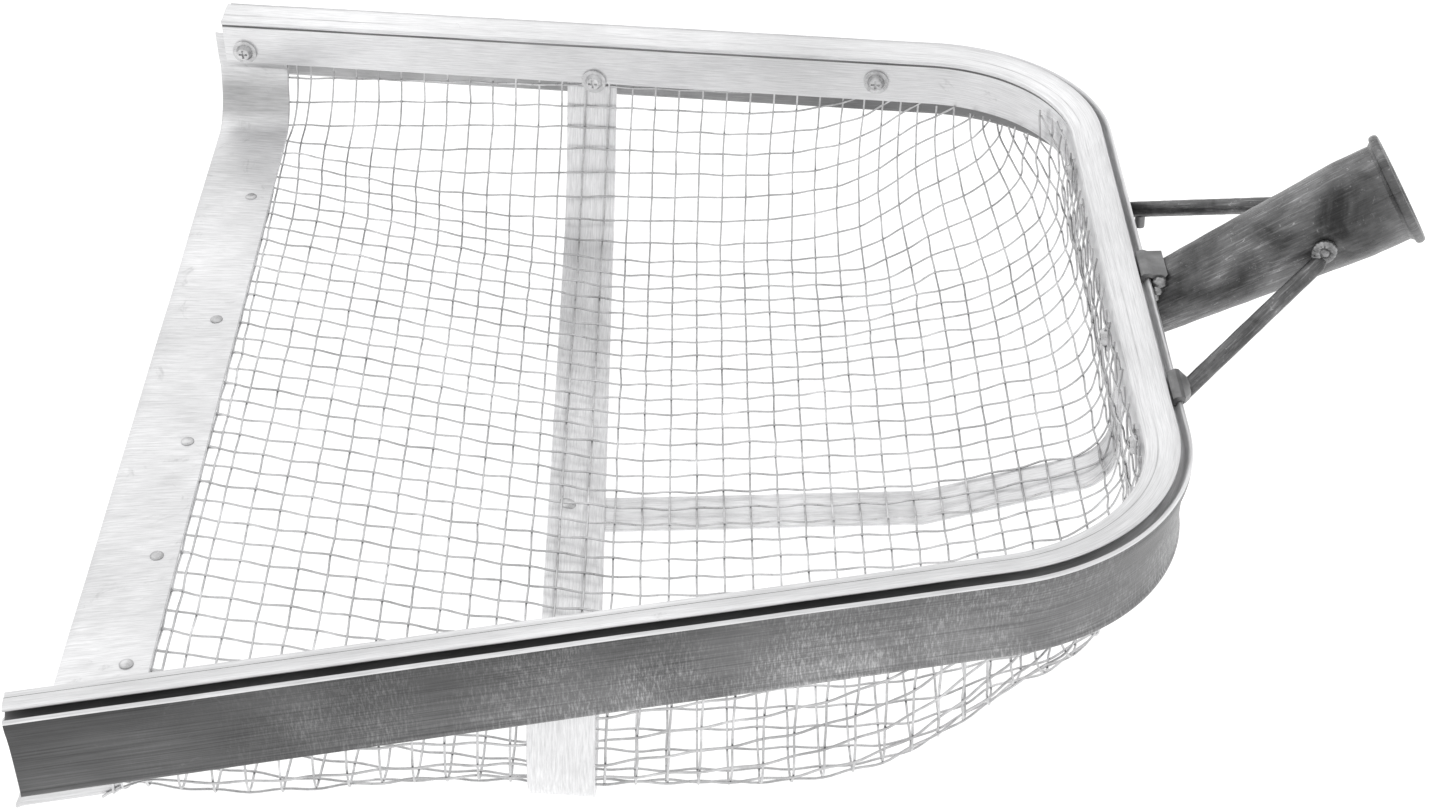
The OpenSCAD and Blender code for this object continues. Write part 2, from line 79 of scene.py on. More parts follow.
# ---- camera ----
def make_camera():
    """A long lens above the near side rail, looking down and across the net."""
    yaw = -0.0122
    pitch = 0.6166
    roll = -0.0313
    stand = place(218.41, -795.86, 509.67)
    forward = Vector((math.sin(yaw) * math.cos(pitch), math.cos(yaw) * math.cos(pitch), -math.sin(pitch)))
    level = Vector((math.cos(yaw), -math.sin(yaw), 0))
    upright = level.cross(forward)
    right = level * math.cos(roll) + upright * math.sin(roll)
    up = upright * math.cos(roll) - level * math.sin(roll)
    data = bpy.data.cameras.new("camera")
    data.lens = 65.98
    data.sensor_width = 36
    data.dof.use_dof = False
    camera = bpy.data.objects.new("camera", data)
    turn = Matrix((right, up, -forward)).transposed().to_4x4()
    camera.matrix_world = Matrix.Translation(stand) @ turn
    bpy.context.collection.objects.link(camera)
    bpy.context.scene.camera = camera


# ---- materials ----
BLACK = (0, 0, 0)
WHITE = (1, 1, 1)
GRAIN_SPAN = (0.3, 0.7)
GRAIN_LIGHT = 1.1
RELIEF_DEPTH = 0.2 * MM


def metal(name, dark, light, metallic, rough, spots, grain, bump, base="Object", stretch=(1, 1, 1),
          stain=None, scuffs=None, painted_fades=(), contrast=0.38):
    """Brushed or weathered metal: blotches of two tones, grain along one direction, uneven relief and gloss.

    dark and light are greys, rough a pair, spots and grain noise scales, and stretch scales grain per axis.
    stain marks patches: scale, where they start, where they are full, and their tone.
    scuffs marks fine strokes: scaling per axis, start, full, tone, and two places between which they set in.
    Each of the fades paints light and shade along one axis: axis, start, end, and the tones there.
    contrast is how dark the grain's lines are.
    """
    m = bpy.data.materials.new(name)
    m.use_nodes = True
    t = m.node_tree
    shader = t.nodes["Principled BSDF"]
    shader.inputs["Metallic"].default_value = metallic
    source = t.nodes.new("ShaderNodeTexCoord").outputs[base]

    def scaled(scale):
        n = t.nodes.new("ShaderNodeMapping")
        n.inputs["Scale"].default_value = scale
        t.links.new(source, n.inputs["Vector"])
        return n.outputs["Vector"]

    def cloud(scale, detail, vector, rough_noise=0.6, distort=0.0):
        n = t.nodes.new("ShaderNodeTexNoise")
        n.inputs["Scale"].default_value = scale
        n.inputs["Detail"].default_value = detail
        n.inputs["Roughness"].default_value = rough_noise
        n.inputs["Distortion"].default_value = distort
        t.links.new(vector, n.inputs["Vector"])
        return n.outputs["Fac"]

    def ramp(value, low, high, tone_low, tone_high):
        n = t.nodes.new("ShaderNodeValToRGB")
        for end, position, tone in zip(n.color_ramp.elements, (low, high), (tone_low, tone_high)):
            end.position = position
            end.color = (*tone, 1)
        t.links.new(value, n.inputs["Fac"])
        return n.outputs["Color"]

    def multiply(a, b, where=None):
        n = t.nodes.new("ShaderNodeMix")
        n.data_type = "RGBA"
        n.blend_type = "MULTIPLY"
        n.inputs["Factor"].default_value = 1.0
        if where:
            t.links.new(where, n.inputs["Factor"])
        t.links.new(a, n.inputs["A"])
        t.links.new(b, n.inputs["B"])
        return n.outputs["Result"]

    def spread(value, start, end, low, high):
        n = t.nodes.new("ShaderNodeMapRange")
        n.inputs["From Min"].default_value = start
        n.inputs["From Max"].default_value = end
        n.inputs["To Min"].default_value = low
        n.inputs["To Max"].default_value = high
        t.links.new(value, n.inputs["Value"])
        return n.outputs["Result"]

    def fade(axis, start, end, low, high):
        split = t.nodes.new("ShaderNodeSeparateXYZ")
        t.links.new(source, split.inputs["Vector"])
        return spread(split.outputs[axis], start, end, low, high)

    blotch = cloud(spots, 6, source, 0.55, 0.4)
    streak = cloud(grain, 5, scaled(stretch), 0.7)
    colour = ramp(blotch, 0.32, 0.68, dark, light)
    colour = multiply(colour, ramp(streak, *GRAIN_SPAN, (GRAIN_LIGHT - contrast,) * 3, (GRAIN_LIGHT,) * 3))
    if stain:
        scale, low, high, tone = stain
        colour = multiply(colour, ramp(cloud(scale, 8, source, 0.7, 1.2), low, high, WHITE, (tone,) * 3))
    if scuffs:
        scale, low, high, tone, reach = scuffs
        mark = ramp(cloud(1.0, 4, scaled(scale), 0.75), low, high, WHITE, (tone,) * 3)
        where = ramp(cloud(22, 5, source), 0.34, 0.62, BLACK, WHITE)
        colour = multiply(colour, mark, multiply(where, fade("X", *reach, 0, 1)))
    # painted light and shade: the base colour is scaled along the piece by each fade
    for limits in painted_fades:
        colour = multiply(colour, fade(*limits))
    t.links.new(colour, shader.inputs["Base Color"])
    t.links.new(spread(streak, *GRAIN_SPAN, *rough), shader.inputs["Roughness"])
    relief = t.nodes.new("ShaderNodeBump")
    relief.inputs["Strength"].default_value = bump
    relief.inputs["Distance"].default_value = RELIEF_DEPTH
    both = t.nodes.new("ShaderNodeMath")
    both.operation = "ADD"
    t.links.new(streak, both.inputs[0])
    t.links.new(blotch, both.inputs[1])
    t.links.new(both.outputs["Value"], relief.inputs["Height"])
    t.links.new(relief.outputs["Normal"], shader.inputs["Normal"])
    return m


def grey(value):
    return (value, value, value * 1.01)


# distances round the rail's section at the top and the foot of its outer wall
WALL_V = (0.057, 0.086)
# distances along the rail: its near side ends, its back corner ends, and the far corner ends
NEAR_END, BACK_START = 0.28, 0.40
FAR_CORNER = (0.72, 0.84)
BACK = ("X", NEAR_END, BACK_START)
# scaling of UV coordinates that draws the noise out into lines along a piece
ALONG_RAIL = (1.2, 34, 1)

LOOKS = {
    # top and web of the rail: drawn aluminium, fine grain along its length
    "rail": metal("rail_top", grey(0.68), grey(0.88), 0.85, (0.28, 0.46), 9, 60, 0.25, "UV", (1.2, 40, 1),
                  (30, 0.66, 0.78, 0.55)),
    # outer wall: dark from painted shade, darker towards the rail's front and lighter towards the wall's
    # foot, with long lines at the front and scuffed across from there on
    "rail_wall_painted_shade_and_scuffs": metal("rail_wall_painted_shade_and_scuffs", grey(0.12), grey(0.26), 0.8, (0.32, 0.5), 14, 60, 0.5, "UV",
                       (0.3, 24, 1), (120, 0.6, 0.74, 1.5),
                       ((1500, 240, 1), 0.47, 0.64, 2.3, (0.02, 0.14)),
                       (("X", 0.0, 0.32, 0.62, 1.35), ("Y", *WALL_V, 0.72, 1.25)), 0.62),
    # groove: painted shade darkens the recess; painted light lifts it from the near back corner on, round
    # the back bar and along the far rail
    "groove": metal("rail_groove", grey(0.14), grey(0.22), 0.3, (0.5, 0.7), 30, 60, 0.2, "UV", ALONG_RAIL,
                    painted_fades=((*BACK, 1.0, 4.2),)),
    # a thin line of painted shade in the notch under the inner face's bead
    "notch_painted_shade": metal("rail_notch_painted_shade", grey(0.14), grey(0.3), 0.6, (0.4, 0.6), 22, 60, 0.2, "UV", ALONG_RAIL),
    # inner slope of the ridge: painted shade, lighter from the near back corner on, round the back bar and
    # along the far rail
    "ridge": metal("rail_ridge", grey(0.38), grey(0.5), 0.6, (0.32, 0.5), 22, 60, 0.3, "UV", ALONG_RAIL,
                   painted_fades=((*BACK, 1.0, 1.7),)),
    # inner face of the outer wall, seen behind the web: painted shade, lifted to a lighter tone past the far
    # corner along the far rail
    "rail_inner_painted_shade": metal("rail_inner_wall_painted_shade", grey(0.20), grey(0.30), 0.8, (0.32, 0.5), 22, 60, 0.3, "UV",
                        ALONG_RAIL, painted_fades=(("X", *FAR_CORNER, 1.0, 2.0),)),
    # lip: grain across it, with a dark band of painted reflection where its far end is bent up
    "lip": metal("lip_sheet_with_painted_reflection", grey(0.66), grey(0.86), 0.7, (0.28, 0.46), 16, 40, 0.2, "UV", (30, 2, 1),
                 (60, 0.6, 0.74, 0.72),
                 painted_fades=(("X", 0.452, 0.460, 1.0, 0.7), ("X", 0.470, 0.476, 1.0, 1.36))),
    "wire": metal("galvanised_wire", grey(0.46), grey(0.74), 0.9, (0.24, 0.42), 60, 220, 0.2),
    "strap": metal("strap_sheet", grey(0.78), grey(0.96), 0.45, (0.3, 0.46), 18, 50, 0.2, "UV", (2, 30, 1)),
    # socket and stays: rusty scale with specks and lengthwise scratches
    "dark_steel": metal("dark_steel", grey(0.04), grey(0.24), 0.8, (0.22, 0.5), 55, 90, 1.0, "UV",
                        (12, 1.2, 1), (520, 0.6, 0.7, 2.8),
                        ((1000, 55, 1), 0.52, 0.64, 2.4, (-1, 0)), contrast=0.5),
    "bracket": metal("bracket_steel", grey(0.15), grey(0.34), 0.8, (0.3, 0.5), 70, 160, 0.4),
    "weld": metal("weld_bead", grey(0.16), grey(0.5), 0.9, (0.2, 0.42), 260, 500, 0.6),
    "fastener": metal("fastener_steel", grey(0.46), grey(0.74), 0.9, (0.22, 0.4), 150, 300, 0.25),
}


# ---- making pieces ----
def make_piece(name, verts, faces, looks, replaced, face_looks=None, uvs=None, sharp=35, wrap=0.0):
    """A mesh piece riding on the one body; faces may name which of several looks they take.

    wrap is the width of uvs that go right round a tube, so that its last strip joins on.
    """
    mesh = bpy.data.meshes.new(name)
    mesh.from_pydata([tuple(v) for v in verts], [], faces)
    for look in looks:
        mesh.materials.append(LOOKS[look])
    if face_looks:
        mesh.polygons.foreach_set("material_index", face_looks)
    if uvs:
        layer = mesh.uv_layers.new(name="UVMap")
        flat = []
        for f in faces:
            corners = [uvs[v] for v in f]
            turned = wrap and max(c[0] for c in corners) - min(c[0] for c in corners) > wrap / 2
            for u, v in corners:
                flat += [u + wrap if turned and u < wrap / 2 else u, v]
        layer.data.foreach_set("uv", flat)
    mesh.update()
    mesh.shade_smooth()
    mesh.set_sharp_from_angle(angle=math.radians(sharp))
    piece = bpy.data.objects.new(name, mesh)
    bpy.context.collection.objects.link(piece)
    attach(piece, "root")
    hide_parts(*replaced)
    return piece


def loft(rings, closed=True, caps=True):
    """Quads between rings of equal length; closed joins each ring's last point to its first."""
    n = len(rings[0])
    verts = [p for ring in rings for p in ring]
    faces = []
    last = n if closed else n - 1
    for r in range(len(rings) - 1):
        for i in range(last):
            j = (i + 1) % n
            faces.append((r * n + i, r * n + j, (r + 1) * n + j, (r + 1) * n + i))
    if caps:
        faces.append(tuple(range(n - 1, -1, -1)))
        faces.append(tuple((len(rings) - 1) * n + i for i in range(n)))
    return verts, faces


def rounded(points, radius, steps=2):
    """A closed outline with each corner cut back by at most radius and turned in a short curve."""
    out = []
    n = len(points)
    for i in range(n):
        a, b, c = (Vector(points[(i + k) % n]) for k in (-1, 0, 1))
        back = min(radius, (a - b).length * 0.45)
        on = min(radius, (c - b).length * 0.45)
        start = b + (a - b).normalized() * back
        end = b + (c - b).normalized() * on
        for s in range(steps + 1):
            t = s / steps
            out.append(tuple(start * (1 - t) ** 2 + b * 2 * t * (1 - t) + end * t * t))
    return out


def outline_lengths(points):
    """Distance along a closed outline at each of its points."""
    out = [0.0]
    for a, b in zip(points, points[1:]):
        out.append(out[-1] + math.dist(a, b))
    return out


# ---- frame rail ----
# section: distance out from the inner face, and height
RAIL_SECTION = [
    (0, -19), (0, -2.4), (0.5, -1.9), (0.4, -1.4), (-0.5, -0.9), (-0.7, 0.1), (-0.3, 0.8), (0.4, 0.96),
    (1.2, 0.98), (2.2, 1.2), (3.4, 1.75), (6, 2.75), (9, 3.4), (10.7, 3.4), (11.0, 2.6), (9, 2.1),
    (6, 1.5), (4, 0.4), (3.8, -1.2), (11.4, -1.2), (12.3, -0.5), (13.1, 1.3), (14.0, 2.3), (14.9, 1.5),
    (14.7, -1.6), (13.7, -5), (12.9, -9), (12.4, -14), (12.2, -20), (12.2, -27.2), (12.9, -28.3),
    (12.7, -29.5), (11.6, -30), (10.8, -29), (10.8, -20), (11, -14), (11.5, -9), (12.1, -4.8),
    (11.6, -3.4), (2.6, -3.4), (1.4, -4.4), (1.4, -19)]


def rail_stations():
    """Places along the rail's inner face: centre line point, outward angle, distance along."""
    out = []
    side = (CORNER_X + CORNER * math.sin(TAPER)) / math.cos(TAPER)
    start = TAPER - math.pi / 2
    straight = 30
    for i in range(straight):
        s = side * i / straight
        out.append(((s * math.cos(TAPER), FRONT_Y + s * math.sin(TAPER)), start, s))
    bend = 44
    for i in range(bend + 1):
        a = start * (1 - i / bend)
        point = (CORNER_X + CORNER * math.cos(a), CORNER_Y + CORNER * math.sin(a))
        out.append((point, a, side + CORNER * (a - start)))
    reach = out[-1][2]
    back = 24
    for i in range(1, back // 2 + 1):
        y = CORNER_Y * (1 - 2 * i / back)
        out.append(((LENGTH, y), 0.0, reach + y - CORNER_Y))
    half = out[-1][2]
    mirror = [((p[0], -p[1]), -a, 2 * half - s) for p, a, s in reversed(out[:-1])]
    return out + mirror


def rail_look(u, z):
    """Which of RAIL_LOOKS a face of the section takes, by its middle."""
    if 0.25 < u < 0.6 and -2.3 < z < -1.2:
        return 5
    if 3.6 < u < 12.1 and -2.2 < z < 2.0:
        return 2
    if 12.1 <= u < 13.85 and -2.2 < z < 2.25:
        return 4
    if u > 13.0 and z < 1.2 or u > 11.8 and z < -1.2:
        return 1
    return 3 if u > 10.4 and z < -4.6 else 0


# all looks but the first hold painted shade: the outer wall, groove, inner wall, ridge and notch
RAIL_LOOKS = ["rail", "rail_wall_painted_shade_and_scuffs", "groove", "rail_inner_painted_shade", "ridge", "notch_painted_shade"]
# the drawn section isn't dead straight: it waves by fractions of a millimetre along its length
SIDE_WAVE = 0.10
TOP_WAVE = 0.12


def make_rail():
    section = rounded(RAIL_SECTION, 0.5)
    lengths = outline_lengths(section)
    rings = []
    uvs = []
    for point, angle, along in rail_stations():
        ring = []
        for (u, z), v in zip(section, lengths):
            out = u + SIDE_WAVE * noise.noise(Vector((along * 0.02, v * 0.05, 3.0)))
            lift = TOP_WAVE * noise.noise(Vector((along * 0.03, 7.0, u * 0.1)))
            ring.append(place(point[0] + out * math.cos(angle), point[1] + out * math.sin(angle), z + lift))
            uvs.append((along * MM, v * MM))
        rings.append(ring)
    verts, faces = loft(rings)
    looks = []
    for f in faces:
        corners = [section[i % len(section)] for i in f]
        middle = [sum(axis) / len(corners) for axis in zip(*corners)]
        looks.append(rail_look(*middle) if len(f) == 4 else 0)
    make_piece("rail", verts, faces, RAIL_LOOKS, ["frame_rail"], looks, uvs)


# ---- lip and cross strap: bands bent up behind the web at both ends ----
EDGE_ROLL = 3.2
CREASE_Z, CREASE_SPAN, CREASE_DEPTH = -23, 2.2, 2.4
# lofted sheets: cuts across their width as shares of it, and half the height of their side edges
CUTS = [0.01, 0.03, 0.06, 0.1, 1 / 6, 4 / 15, 0.4, 8 / 15, 2 / 3, 0.8, 0.9]
SIDE_EDGE = 0.25


def sheet_outline(across, width):
    """Section of a sheet with eased edges: distance across, and height from its middle."""
    half_t = SHEET_T / 2
    top = [(a, half_t) for a in across]
    under = [(a, -half_t) for a in reversed(across)]
    edge = [(width, SIDE_EDGE), (width, -SIDE_EDGE)]
    return [(0.0, SIDE_EDGE)] + top + edge + under + [(0.0, -SIDE_EDGE)]


def side_y(x, u):
    """Distance from the net's middle to a point u outside a side rail's inner face."""
    return -(FRONT_Y + x * math.tan(TAPER)) + u / math.cos(TAPER)


def ease(t):
    t = max(0.0, min(1.0, t))
    return t * t * (3 - 2 * t)


def band_line(u0, depth, near_r, far_r, steps, floor_steps):
    """Centre line of a band: side, outward distance, height and normal at each point; near leg first."""
    half = []
    for side, r in ((-1, near_r), (1, far_r)):
        fall = r - depth - LEG_TOP
        leg = [(side, u0, LEG_TOP + fall * i / LEG_CUTS, 1.0, 0.0) for i in range(LEG_CUTS)]
        for i in range(steps + 1):
            a = -math.pi / 2 * i / steps
            nu, nz = math.cos(a), math.sin(a)
            leg.append((side, u0 - r + r * nu, r - depth + r * nz, nu, nz))
        half.append(leg)
    near, far = half
    y0 = 200.0
    line = list(near)
    span = [near[-1][1], -2 * y0 - far[-1][1]]
    for i in range(1, floor_steps):
        t = i / floor_steps
        u = span[0] + (span[1] - span[0]) * t
        line.append((0, u, -depth, 0.0, -1.0))
    return line + list(reversed(far))


def make_band(name, u0, depth, near_r, far_r, x0, width, lean, look, replaced, curl, dent, rise=0.0,
              skew=0.0, set_back=0.0):
    """A strip of sheet across the net, its ends bent up; u0 and depth are its legs' and floor's near faces.

    curl rolls its front edge down, and dent is how uneven its floor is. rise lifts the floor's front edge,
    skew sets the near end back, and set_back leans the near leg back.
    """
    half_t = SHEET_T / 2
    bend_cuts = 14
    line = band_line(u0 + half_t, depth + half_t, near_r + half_t, far_r + half_t, bend_cuts, 40)
    across = [c * width for c in CUTS] + [width - 0.9, width - 0.3]
    outline = sheet_outline(across, width)
    near_leg = LEG_CUTS + bend_cuts
    far_leg = len(line) - near_leg - 1
    rings = []
    uvs = []
    along = 0.0
    previous = None
    for k, (side, u, z, nu, nz) in enumerate(line):
        mid_x = x0 + width / 2 + lean * z
        # share of the way across the floor from its near end
        t = (k - near_leg) / (far_leg + 1 - near_leg)
        if side:
            y_mid = side * side_y(mid_x, u)
            back = skew + set_back * ease((z + depth) / 8) if side == -1 else 0.0
        else:
            ends = [s * side_y(mid_x, line[leg][1]) for s, leg in ((-1, near_leg), (1, far_leg))]
            y_mid = ends[0] + (ends[1] - ends[0]) * t
            back = skew * (1 - t)
        if previous is not None:
            along += math.dist(previous, (y_mid, z))
        previous = (y_mid, z)
        lifted = min(1.0, max(0.0, (LEG_TOP - z) / (LEG_TOP - near_r + depth)))
        upright = max(0.0, min(1.0, abs(nu) * 1.6))
        crease = CREASE_DEPTH * curl * math.exp(-((z - CREASE_Z) / CREASE_SPAN) ** 2) if side == 1 else 0.0
        ring = []
        for dx, dn in outline:
            x = x0 + dx + lean * z + back
            # the legs follow the taper, and the floor's edges turn from one leg's angle to the other's
            slope = -(dx - width / 2) * math.tan(TAPER)
            y = y_mid + slope * (side or 2 * t - 1)
            uneven = dent * noise.noise(Vector((x * 0.05, y_mid * 0.02, depth))) * (1 - upright)
            roll = curl * max(0.0, 1 - dx / EDGE_ROLL) ** 2
            # measured towards the inside of the basket
            inward = dn + uneven - roll - crease
            y += -side * nu * inward / math.cos(TAPER)
            ring.append(place(x, y, z - nz * inward + rise * (1 - dx / width) * lifted))
            uvs.append((along * MM, dx * MM))
        rings.append(ring)
    verts, faces = loft(rings)
    make_piece(name, verts, faces, [look], replaced, None, uvs, 40)


# ---- long strap ----
BASKET_DEPTH = 90.0
CROSS_Z = BASKET_DEPTH + MESH_T / 2 + 0.1
LONG_Z = CROSS_Z + SHEET_T + 0.1
# the crosswise strap: its place, width and lean, and how much its front edge is raised
CROSS_X = 160.0
CROSS_WIDTH = 21.0
CROSS_LEAN = 0.06
CROSS_RISE = 6.0
RIVET_X = CROSS_X - CROSS_LEAN * BASKET_DEPTH - 2
CROSS_FRONT = CROSS_X - CROSS_WIDTH / 2 - CROSS_LEAN * CROSS_Z
CROSS_SLOPE = CROSS_RISE / CROSS_WIDTH
LONG_Y = -16.0
LONG_WIDTH = 20.0
# the basket's back bend, in mm
BACK_DEPTH = 77
BACK_R = 16


def cross_top(x):
    """Depth of the crosswise strap's upper face, which slopes down towards the back."""
    return CROSS_Z - 0.2 - CROSS_RISE + CROSS_SLOPE * (x - CROSS_FRONT)


def make_long_strap():
    """From under the crosswise strap back along the basket's floor and up behind the back bar's web."""
    half_t = SHEET_T / 2
    r = BACK_R + MESH_T / 2 + 0.1 + half_t
    cx = LENGTH + U_STRAP + half_t - r
    cz = BACK_R - BACK_DEPTH - 0.4
    bend_x = 285.0
    floor_z = -LONG_Z - half_t
    slope = math.atan((r - cz - LONG_Z - half_t) / (bend_x - cx))
    under = SHEET_T + 0.1 + half_t
    front, back = RIVET_X - 7, CROSS_FRONT + CROSS_WIDTH
    bends = [(front, -cross_top(front) - under), (back, -cross_top(back) - under), (back + 10, floor_z),
             (bend_x, floor_z)]
    line = []
    for (xa, za), (xb, zb) in zip(bends, bends[1:]):
        cuts = max(4, int((xb - xa) / 4))
        line += [(xa + (xb - xa) * i / cuts, za + (zb - za) * i / cuts, 0.0, 1.0) for i in range(cuts)]
    line.append((bend_x, floor_z, 0.0, 1.0))
    first = -math.pi / 2 + slope
    line += [(cx + r * math.cos(a), cz + r * math.sin(a), -math.cos(a), -math.sin(a))
             for a in (first * (1 - i / 14) for i in range(15))]
    line += [(cx + r, cz + (LEG_TOP - cz) * i / 10, -1.0, 0.0) for i in range(1, 11)]
    outline = sheet_outline([0.3, 1, 2.5, 5, 7.5, 10, 12.5, 15, 17.5, 19, 19.7], LONG_WIDTH)
    rings = []
    uvs = []
    along = 0.0
    for k, (x, z, nx, nz) in enumerate(line):
        if k:
            along += math.dist((x, z), line[k - 1][:2])
        flat = 1.0 if x < bend_x else 0.0
        ring = []
        for dy, dn in outline:
            d = dn + flat * (0.18 * noise.noise(Vector((x * 0.03, dy * 0.05, 9.0))) + 0.15)
            ring.append(place(x + nx * d, LONG_Y + LONG_WIDTH / 2 - dy, z + nz * d))
            uvs.append((along * MM, dy * MM))
        rings.append(ring)
    verts, faces = loft(rings)
    make_piece("lengthwise_strap", verts, faces, ["strap"], ["long_strap"], None, uvs, 40)


# ---- woven wire mesh ----
PITCH = 10.16 * MM
WIRE_R = 0.42 * MM
# where the first crossing lies on the floor, and how much the first wire across leans back as it climbs
START_X = 159.5
START_Y = -16.8
COLUMN_LEAN = 0.08
# towards the lip the wires follow one that hangs at this height on the far wall, and dips forward
WALL_ROW_Z = -25.0
WALL_ROW_SLOPE = 0.036
# number of wires laid back from the first, towards the lip, and up each side
BACK_WIRES = 30
FRONT_WIRES = 18
SIDE_WIRES = 32
# the mesh passes under the web to its inside between these places, and by this far
TURN_START, TURN_SPAN = 280, 45
TURN_FOOT, TURN_HEIGHT = -52, 26
TURN_DEPTH = 5.4
INSIDE_FROM = 341.0
# what the wires keep from the basket's rim, and how much higher they end inside the back bar
RIM_GAP = 1.0 * MM
INSIDE_EXTRA = 4.6 * MM
LIP_COVER = 15 * MM
# a point inside the basket, which its inner faces look towards
INSIDE = place(200, 0, 40)


def basket_tree():
    """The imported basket's inside face as a search tree, carried a little past its rims."""
    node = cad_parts["mesh_basket"]
    bm = bmesh.new()
    bm.from_mesh(node.data)
    bmesh.ops.remove_doubles(bm, verts=bm.verts, dist=2e-6)
    high = max(v.co.z for v in bm.verts)
    front = min(v.co.x for v in bm.verts)
    at_rim = 0.3 * MM
    drop = []
    for f in bm.faces:
        centre = f.calc_center_median()
        facing = f.normal.dot(INSIDE - centre) > 0
        rim = centre.z > high - at_rim or centre.x < front + at_rim
        if rim or not facing:
            drop.append(f)
    bmesh.ops.delete(bm, geom=drop, context="FACES")
    reach = 25 * MM
    for e in [e for e in bm.edges if e.is_boundary]:
        a, b = e.verts
        if min(a.co.z, b.co.z) > high - at_rim:
            push = Vector((0, 0, reach))
        elif max(a.co.x, b.co.x) < front + at_rim:
            push = Vector((-reach, 0, 0))
        else:
            continue
        bm.faces.new((b, a, bm.verts.new(a.co + push), bm.verts.new(b.co + push)))
    bmesh.ops.recalc_face_normals(bm, faces=bm.faces)
    tree = BVHTree.FromBMesh(bm)
    bm.free()
    return tree, high, front


def inside_share(x):
    """How far the mesh has come round to the inside of the web: none at the sides, all at the back."""
    return ease(((x - ORIGIN.x) / MM - TURN_START) / TURN_SPAN)


def wire_top(p, rim):
    """The wires' upper limit: the rim behind the web, its foot where they pass under it, more inside it."""
    if inside_share(p.x) < 0.02:
        return rim
    if p.x < place(INSIDE_FROM, 0, 0).x:
        return place(0, 0, WEB_FOOT + 0.4).z
    return rim + INSIDE_EXTRA


def make_net():
    """Crossings of a woven sheet laid in the basket: each wire keeps its pitch, so the corners shear."""
    tree, high, front = basket_tree()

    def settle(p):
        where, normal, _, _ = tree.find_nearest(p)
        if normal.dot(INSIDE - where) < 0:
            normal = -normal
        return where, normal

    def advance(p, step, fix_axis, value):
        """The next crossing from p along step, with one of its coordinates kept to a value."""
        q = p + step
        for _ in range(12):
            q = settle(q)[0].copy()
            q[fix_axis] = value(q)
            q = p + (q - p).normalized() * PITCH
        return settle(q)[0]

    start = settle(place(START_X, START_Y, -BASKET_DEPTH))[0]
    grid = {(0, 0): start}

    def line(p, direction, axis, value, count, key):
        step = Vector(direction) * PITCH
        for i in range(1, count + 1):
            q = advance(p, step, axis, value)
            step = (q - p).normalized() * PITCH
            grid[key(i)] = q
            p = q

    def first_column(q):
        up = max(0.0, q.z - start.z)
        return start.x + up * COLUMN_LEAN

    line(start, (1, 0, 0), 1, lambda q: start.y, BACK_WIRES, lambda i: (i, 0))
    line(start, (0, 1, 0), 0, first_column, SIDE_WIRES, lambda i: (0, i))
    line(start, (0, -1, 0), 0, first_column, SIDE_WIRES, lambda i: (0, -i))
    # towards the lip the weave follows the far side's wall, where it hangs level under the rail
    level = place(0, 0, WALL_ROW_Z).z
    wall_row = min(range(1, SIDE_WIRES), key=lambda j: abs(grid[(0, j)].z - level))
    wall = grid[(0, wall_row)]
    line(wall, (-1, 0, 0), 2, lambda q: wall.z - (wall.x - q.x) * WALL_ROW_SLOPE, FRONT_WIRES,
         lambda i: (-i, wall_row))

    def corner(a, b, back):
        """The crossing one pitch from both a and b, found by steps along the basket's face."""
        p = a + b - back
        for _ in range(14):
            p, n = settle(p)
            da, db = p - a, p - b
            la, lb = max(da.length, 1e-9), max(db.length, 1e-9)
            ta = da / la - n * (n.dot(da) / la)
            tb = db / lb - n * (n.dot(db) / lb)
            # the small addition keeps the step short where the two wires are nearly in line
            g11, g12, g22 = ta.dot(ta) + 0.02, ta.dot(tb), tb.dot(tb) + 0.02
            ra, rb = PITCH - la, PITCH - lb
            det = g11 * g22 - g12 * g12
            alpha = (ra * g22 - rb * g12) / det
            beta = (rb * g11 - ra * g12) / det
            move = ta * alpha + tb * beta
            p = p + move * min(1.0, 0.5 * PITCH / max(move.length, 1e-9))
        return settle(p)[0]

    def fill(key, along, across):
        grid[key] = corner(grid[along], grid[across], grid[(along[0], across[1])])

    for i in range(1, BACK_WIRES + 1):
        for j in range(1, SIDE_WIRES + 1):
            for s in (1, -1):
                fill((i, s * j), (i - 1, s * j), (i, s * (j - 1)))
    for i in range(1, FRONT_WIRES + 1):
        for j in range(wall_row + 1, SIDE_WIRES + 1):
            fill((-i, j), (1 - i, j), (-i, j - 1))
        for j in range(wall_row - 1, -SIDE_WIRES - 1, -1):
            fill((-i, j), (1 - i, j), (-i, j + 1))
    # the wires are springy, so the turn where the two halves of the net meet is eased
    for _ in range(3):
        eased = {}
        for i in range(-4, 5):
            for j in range(-SIDE_WIRES, SIDE_WIRES + 1):
                middle = (grid[(i - 1, j)] + grid[(i + 1, j)]) * 0.5
                eased[(i, j)] = settle(grid[(i, j)] * 0.5 + middle * 0.5)[0]
        grid.update(eased)

    nodes = {}
    for key, p in grid.items():
        where, normal = settle(p)
        seed = Vector((key[0] * 0.9, key[1] * 0.9, 5.0))
        wander = noise.noise_vector(seed) * 0.35 * MM
        wander -= normal * wander.dot(normal)
        height = (where.z - ORIGIN.z) / MM
        inwards = TURN_DEPTH * inside_share(where.x) * ease((height - TURN_FOOT) / TURN_HEIGHT) - MESH_T / 2
        nodes[key] = (where + normal * (inwards * MM) + wander, normal)
    return nodes, high, front


